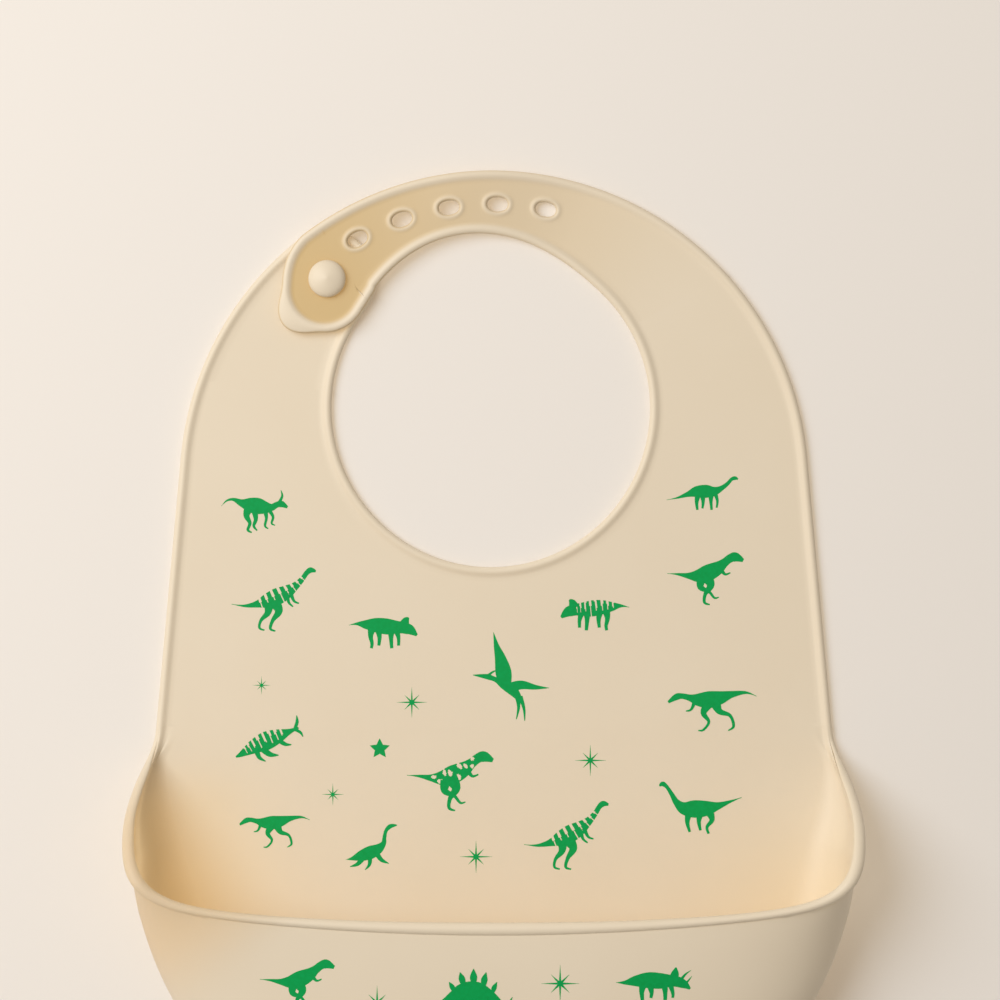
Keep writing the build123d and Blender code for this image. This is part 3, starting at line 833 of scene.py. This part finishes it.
RUNNER = [
    [(0, 0.42, 0), (0.12, 0.46, 0.014), (0.28, 0.44, 0.035), (0.42, 0.4, 0.07),
     (0.54, 0.38, 0.085), (0.66, 0.38, 0.065),
     (0.75, 0.4, 0.035), (0.84, 0.42, 0.028), (0.91, 0.41, 0.032), (1.0, 0.35, 0.012)],
    [(0.47, 0.36, 0.065), (0.42, 0.25, 0.035), (0.3, 0.2, 0.018), (0.26, 0.08, 0.015), (0.32, 0.03, 0.006)],
    [(0.54, 0.34, 0.055), (0.6, 0.23, 0.032), (0.54, 0.13, 0.016), (0.6, 0.04, 0.012), (0.66, 0.03, 0.006)],
    [(0.7, 0.36, 0.022), (0.74, 0.27, 0.013), (0.8, 0.25, 0.006)],
]
HEAVY = [
    [(0, 0.36, 0), (0.12, 0.38, 0.02), (0.25, 0.37, 0.06), (0.4, 0.36, 0.095),
     (0.56, 0.34, 0.105), (0.7, 0.33, 0.085),
     (0.8, 0.32, 0.075), (0.9, 0.29, 0.065), (1.0, 0.21, 0.016)],
    [(0.8, 0.35, 0.07), (0.84, 0.43, 0.05), (0.88, 0.47, 0.012)],
    [(0.34, 0.32, 0.06), (0.32, 0.2, 0.035), (0.34, 0.09, 0.024), (0.33, 0.02, 0.02)],
    [(0.43, 0.3, 0.05), (0.45, 0.18, 0.03), (0.44, 0.06, 0.02)],
    [(0.62, 0.28, 0.05), (0.62, 0.16, 0.03), (0.63, 0.02, 0.022)],
    [(0.7, 0.28, 0.045), (0.73, 0.17, 0.026), (0.73, 0.06, 0.02)],
]
LONG_NECK = [
    [(0, 0.16, 0), (0.15, 0.19, 0.012), (0.3, 0.24, 0.035), (0.42, 0.275, 0.07),
     (0.55, 0.28, 0.082), (0.66, 0.28, 0.06),
     (0.76, 0.32, 0.034), (0.85, 0.385, 0.024), (0.91, 0.45, 0.022), (0.96, 0.465, 0.024),
     (1.0, 0.45, 0.008)],
    [(0.44, 0.24, 0.045), (0.42, 0.13, 0.025), (0.43, 0.02, 0.016)],
    [(0.5, 0.24, 0.04), (0.51, 0.13, 0.022), (0.5, 0.04, 0.014)],
    [(0.62, 0.24, 0.04), (0.62, 0.13, 0.022), (0.63, 0.02, 0.016)],
    [(0.68, 0.25, 0.03), (0.71, 0.15, 0.018), (0.7, 0.05, 0.012)],
]
HIGH_NECK = [
    [(0, 0.46, 0), (0.14, 0.41, 0.015), (0.28, 0.36, 0.04), (0.42, 0.33, 0.08),
     (0.57, 0.32, 0.095), (0.7, 0.33, 0.07),
     (0.79, 0.4, 0.037), (0.85, 0.5, 0.024), (0.91, 0.59, 0.02), (0.96, 0.625, 0.026), (1.0, 0.6, 0.008)],
    [(0.4, 0.3, 0.055), (0.36, 0.19, 0.03), (0.42, 0.1, 0.018), (0.4, 0.02, 0.014)],
    [(0.5, 0.28, 0.045), (0.52, 0.17, 0.025), (0.5, 0.06, 0.014)],
    [(0.64, 0.28, 0.045), (0.66, 0.16, 0.025), (0.63, 0.04, 0.014)],
]
PADDLER = [
    [(0, 0.2, 0), (0.12, 0.22, 0.03), (0.28, 0.27, 0.085), (0.45, 0.33, 0.11), (0.6, 0.4, 0.085),
     (0.7, 0.5, 0.045),
     (0.72, 0.62, 0.032), (0.75, 0.74, 0.03), (0.83, 0.82, 0.036), (0.95, 0.84, 0.012)],
    [(0.32, 0.23, 0.05), (0.22, 0.12, 0.035), (0.08, 0.07, 0.006)],
    [(0.57, 0.33, 0.045), (0.66, 0.2, 0.037), (0.8, 0.13, 0.006)],
    [(0.45, 0.24, 0.04), (0.44, 0.11, 0.03), (0.36, 0.01, 0.006)],
]
SWIMMER = [
    [(0.04, 0.3, 0.012), (0.18, 0.3, 0.035), (0.34, 0.3, 0.085), (0.52, 0.3, 0.115),
     (0.7, 0.29, 0.09), (0.84, 0.27, 0.055),
     (0.93, 0.255, 0.03), (1.0, 0.25, 0.01)],
    [(0.1, 0.3, 0.02), (0.03, 0.38, 0.022), (0.0, 0.47, 0.004)],
    [(0.1, 0.3, 0.02), (0.04, 0.23, 0.018), (0.03, 0.16, 0.004)],
    [(0.62, 0.23, 0.045), (0.55, 0.11, 0.035), (0.44, 0.05, 0.006)],
    [(0.7, 0.22, 0.035), (0.7, 0.12, 0.026), (0.64, 0.04, 0.006)],
    [(0.36, 0.25, 0.035), (0.3, 0.16, 0.025), (0.22, 0.12, 0.006)],
]
FLYER = [
    [(0, 0.62, 0.004), (0.1, 0.61, 0.02), (0.2, 0.595, 0.032), (0.3, 0.56, 0.03),
     (0.4, 0.51, 0.06), (0.5, 0.44, 0.065),
     (0.58, 0.35, 0.045), (0.63, 0.26, 0.02)],
    [(0.18, 0.6, 0.02), (0.26, 0.66, 0.012), (0.33, 0.69, 0.003)],
    [(0.42, 0.5, 0.08), (0.4, 0.66, 0.1), (0.36, 0.84, 0.07), (0.31, 1.0, 0.035), (0.27, 1.18, 0.002)],
    [(0.5, 0.46, 0.06), (0.64, 0.49, 0.055), (0.82, 0.46, 0.03), (1.0, 0.45, 0.002)],
    [(0.58, 0.36, 0.035), (0.6, 0.2, 0.02), (0.57, 0.04, 0.005)],
    [(0.62, 0.34, 0.03), (0.67, 0.18, 0.018), (0.68, 0.02, 0.005)],
]
PLATED = [
    [(0, 0.06, 0), (0.14, 0.12, 0.022), (0.28, 0.21, 0.06), (0.42, 0.26, 0.1), (0.56, 0.25, 0.1),
     (0.68, 0.19, 0.07),
     (0.8, 0.13, 0.035), (0.9, 0.1, 0.03), (1.0, 0.06, 0.01)],
    [(0.25, 0.25, 0.016), (0.23, 0.31, 0.026), (0.2, 0.37, 0.002)],
    [(0.35, 0.32, 0.02), (0.34, 0.4, 0.034), (0.32, 0.48, 0.002)],
    [(0.46, 0.35, 0.02), (0.46, 0.43, 0.038), (0.46, 0.52, 0.002)],
    [(0.57, 0.33, 0.02), (0.59, 0.41, 0.034), (0.61, 0.48, 0.002)],
    [(0.67, 0.26, 0.016), (0.7, 0.32, 0.026), (0.73, 0.37, 0.002)],
    [(0.08, 0.1, 0.014), (0.05, 0.16, 0.01), (0.03, 0.2, 0.002)],
    [(0.36, 0.2, 0.06), (0.35, 0.08, 0.03), (0.37, 0, 0.02)],
    [(0.45, 0.18, 0.05), (0.46, 0.08, 0.026), (0.47, 0.02, 0.016)],
    [(0.62, 0.18, 0.045), (0.62, 0.08, 0.026), (0.61, 0, 0.018)],
]
HORNED = [
    [(0, 0.24, 0), (0.12, 0.24, 0.025), (0.26, 0.26, 0.065), (0.42, 0.27, 0.095),
     (0.58, 0.26, 0.095), (0.7, 0.26, 0.075),
     (0.8, 0.25, 0.065), (0.9, 0.21, 0.05), (0.98, 0.15, 0.012)],
    [(0.76, 0.28, 0.06), (0.78, 0.37, 0.045), (0.79, 0.44, 0.008)],
    [(0.86, 0.28, 0.02), (0.92, 0.35, 0.012), (0.99, 0.4, 0.002)],
    [(0.93, 0.23, 0.015), (0.97, 0.28, 0.008), (1.0, 0.32, 0.002)],
    [(0.36, 0.22, 0.055), (0.34, 0.12, 0.032), (0.35, 0, 0.022)],
    [(0.45, 0.2, 0.045), (0.47, 0.1, 0.026), (0.46, 0.03, 0.018)],
    [(0.64, 0.2, 0.045), (0.65, 0.1, 0.028), (0.65, 0, 0.022)],
    [(0.72, 0.2, 0.035), (0.75, 0.1, 0.022), (0.75, 0.03, 0.016)],
]


def through(stroke, steps):
    """Smooth points along a stroke."""
    ends = [stroke[0]] + list(stroke) + [stroke[-1]]
    points = []
    for i in range(len(stroke) - 1):
        a, b, c, d = ends[i : i + 4]
        for k in range(steps):
            t = k / steps
            points.append(tuple(
                0.5 * (2 * q + (r - p) * t + (2 * p - 5 * q + 4 * r - s) * t * t
                       + (3 * q - p - 3 * r + s) * t**3)
                for p, q, r, s in zip(a, b, c, d)
            ))
    return points + [stroke[-1]]


def inked(pattern, along, across):
    """False where the print leaves the silicone bare: stripes down from the back, or spots."""
    if pattern == "stripes" and 0.2 < along < 0.72:
        place = (along * 15) % 1
        return abs(place - 0.5) > 0.3 * max(0.0, across - 0.15)
    if pattern == "spots" and 0.2 < along < 0.75:
        for k in range(9):
            off = (across - (0.62, 0.25, 0.8)[k % 3]) * 0.32
            if hypot((along - 0.24 - 0.058 * k) * 2.6, off) < 0.06:
                return False
    return True


def flat_print(name, marks, surface, offset):
    """Lays strokes of ink on a surface; each mark is (x, y, size, turn, mirrored, strokes, pattern)."""
    points = []
    faces = []
    for x, y, size, turn, mirrored, strokes, pattern in marks:
        side = -1 if mirrored else 1
        high = max(p[1] + p[2] for stroke in strokes for p in stroke)
        c = cos(radians(turn))
        s = sin(radians(turn))
        for number, stroke in enumerate(strokes):
            line = through(stroke, 12 if number == 0 else 6)
            wide = 12 if number == 0 else 4
            start = len(points)
            for i, (px, py, half) in enumerate(line):
                ahead = line[min(i + 1, len(line) - 1)]
                behind = line[max(i - 1, 0)]
                dx, dy = ahead[0] - behind[0], ahead[1] - behind[1]
                length = hypot(dx, dy)
                for k in range(wide + 1):
                    v = max(half, 0.003) * (1.12 if number == 0 else 1.05) * (2 * k / wide - 1)
                    u = (px - dy / length * v - 0.5) * size * side
                    w = (py + dx / length * v - high / 2) * size
                    points.append((x + u * c - w * s, y + u * s + w * c, 0.01 + 0.007 * number))
            for i in range(len(line) - 1):
                for k in range(wide):
                    if number or inked(pattern, i / (len(line) - 1), (k + 0.5) / wide):
                        a = start + i * (wide + 1) + k
                        faces.append((a, a + 1, a + wide + 2, a + wide + 1))
    draped = []
    for px, py, rise in points:
        hit, where, *_ = surface.ray_cast((px / 1000, py / 1000, 0.1), (0, 0, -1))
        z = where.z * 1000 if hit else offset
        draped.append((px, py, z + rise))
    mesh = bpy.data.meshes.new(name)
    mesh.from_pydata([(a / 1000, b / 1000, z / 1000) for a, b, z in draped], [], faces)
    piece = bpy.data.objects.new(name, mesh)
    bpy.context.collection.objects.link(piece)
    bpy.ops.object.select_all(action="DESELECT")
    piece.select_set(True)
    bpy.context.view_layer.objects.active = piece
    bpy.ops.object.mode_set(mode="EDIT")
    bpy.ops.mesh.select_all(action="SELECT")
    bpy.ops.mesh.delete_loose()
    bpy.ops.object.mode_set(mode="OBJECT")
    thick = piece.modifiers.new("film", "SOLIDIFY")
    thick.thickness = INK_LIFT / 1000
    thick.offset = 1
    bpy.ops.object.modifier_apply(modifier=thick.name)
    return piece


def rays(count, near, reaches, widths):
    """A star of tapered rays; reaches are taken in turn, widths are at its middle, near and the end."""
    strokes = []
    for k in range(count):
        a = radians(360 / count * k + 90)
        far = reaches[k % len(reaches)]
        along = zip((0, near, far), widths)
        strokes.append([(0.5 + d * cos(a), 0.5 + d * sin(a), width) for d, width in along])
    return strokes


BURST = rays(8, 0.12, (0.5, 0.34), (0.035, 0.024, 0.001))
STAR = rays(5, 0.24, (0.52,), (0.2, 0.13, 0.004))
chest_marks = [
    (-74.6, 44.8, 20.6, 0, False, CRESTED, ""),
    (-68.6, 17.3, 26.2, 0, False, WALKER, "stripes"),
    (-34.6, 7.0, 21.2, 0, False, HEAVY, ""),
    (-72.4, -9.2, 5.6, 0, False, BURST, ""),
    (-25.6, -14.5, 9.4, 0, False, BURST, ""),
    (-69.9, -27.6, 22.4, 22, True, SWIMMER, "stripes"),
    (-35.6, -28.9, 6.2, 0, False, STAR, ""),
    (-50.2, -43.2, 6.8, 0, False, BURST, ""),
    (-68.3, -55.1, 21.8, 0, True, RUNNER, ""),
    (-37.8, -59.7, 16.8, 0, False, PADDLER, ""),
    (5.3, -6.7, 23.7, 0, False, FLYER, ""),
    (-13.7, -39.5, 26.8, 0, False, BITER, "spots"),
    (-5.6, -62.6, 10.0, 0, False, BURST, ""),
    (30.0, -32.6, 9.6, 0, False, BURST, ""),
    (31.5, 12.6, 21.2, 0, True, HEAVY, "stripes"),
    (22.8, -56.6, 27.1, 4, False, WALKER, "stripes"),
    (64.9, 50.4, 22.2, 0, False, LONG_NECK, ""),
    (65.8, 23.6, 23.7, 0, False, BITER, ""),
    (68.0, -17.6, 27.5, 0, True, RUNNER, ""),
    (64.3, -47.6, 25.6, 0, True, HIGH_NECK, ""),
]
front_marks = [
    (-59.4, -98.2, 22.6, 0, False, BITER, ""),
    (-35.2, -103.3, 10.6, 0, False, BURST, ""),
    (-7.2, -99.8, 27.2, 0, True, PLATED, ""),
    (20.0, -97.3, 11.4, 0, False, BURST, ""),
    (48.3, -97.4, 22.9, 0, False, HORNED, ""),
]
green = bpy.data.materials.new("green_ink")
green.use_nodes = True
ink = green.node_tree.nodes["Principled BSDF"]
where = green.node_tree.nodes.new("ShaderNodeTexCoord")
cloud = green.node_tree.nodes.new("ShaderNodeTexNoise")
cloud.inputs["Scale"].default_value = 900
tone = green.node_tree.nodes.new("ShaderNodeMix")
tone.data_type = "RGBA"
tone.inputs[6].default_value = (0.0, 0.3, 0.06, 1)
tone.inputs[7].default_value = (0.0, 0.38, 0.095, 1)
ink.inputs["Specular IOR Level"].default_value = 0.15
green.node_tree.links.new(where.outputs["Object"], cloud.inputs["Vector"])
green.node_tree.links.new(cloud.outputs["Fac"], tone.inputs[0])
green.node_tree.links.new(tone.outputs[2], ink.inputs["Base Color"])
ink.inputs["Roughness"].default_value = 0.5

low_marks = [mark for mark in chest_marks if mark[1] < -22]
high_marks = [mark for mark in chest_marks if mark[1] >= -22]
prints = (
    ("chest_print", high_marks, panel),
    ("pocket_print", low_marks, pocket),
    ("front_print", front_marks, pocket),
)
for name, marks, surface in prints:
    print_piece = flat_print(name, marks, surface, SHEET)
    print_piece.data.materials.append(green)
    if name == "chest_print":
        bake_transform(print_piece)
    elif name == "pocket_print":
        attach(print_piece, "pocket_body")
    else:
        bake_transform(print_piece)

# ---------------------------------------------------------------- where it lies
# The bib lies on its back on a pale cream surface, in soft daylight from the upper left,
# and is seen from straight above.
bpy.ops.mesh.primitive_plane_add(size=6, location=(0, 0, -0.0002))
floor = bpy.context.object
floor.name = "floor"
cream = bpy.data.materials.new("cream_surface")
cream.use_nodes = True
cream.node_tree.nodes["Principled BSDF"].inputs["Base Color"].default_value = (0.84, 0.81, 0.775, 1)
cream.node_tree.nodes["Principled BSDF"].inputs["Roughness"].default_value = 0.85
floor.data.materials.append(cream)

world = bpy.data.worlds.new("soft_room")
world.use_nodes = True
world.node_tree.nodes["Background"].inputs["Color"].default_value = (1.0, 0.9, 0.78, 1)
world.node_tree.nodes["Background"].inputs["Strength"].default_value = 0.38
bpy.context.scene.world = world
bpy.ops.object.light_add(type="AREA", location=(-0.9, 0.5, 1.35))
key = bpy.context.object
key.name = "window_light"
key.data.shape = "DISK"
key.data.size = 1.3
key.data.energy = 24
key.data.color = (1.0, 0.97, 0.935)
key.rotation_euler = (Vector((0.05, 0.0, 0.0)) - key.location).to_track_quat("-Z", "Y").to_euler()

bpy.ops.object.camera_add(location=(0.00187, 0.0485, 1.1), rotation=(0, 0, 0))
camera = bpy.context.object
camera.name = "overhead_camera"
camera.data.sensor_width = 36
camera.data.lens = 36 * 1.1 / 0.312
bpy.context.scene.camera = camera
bpy.context.scene.view_settings.view_transform = "Standard"
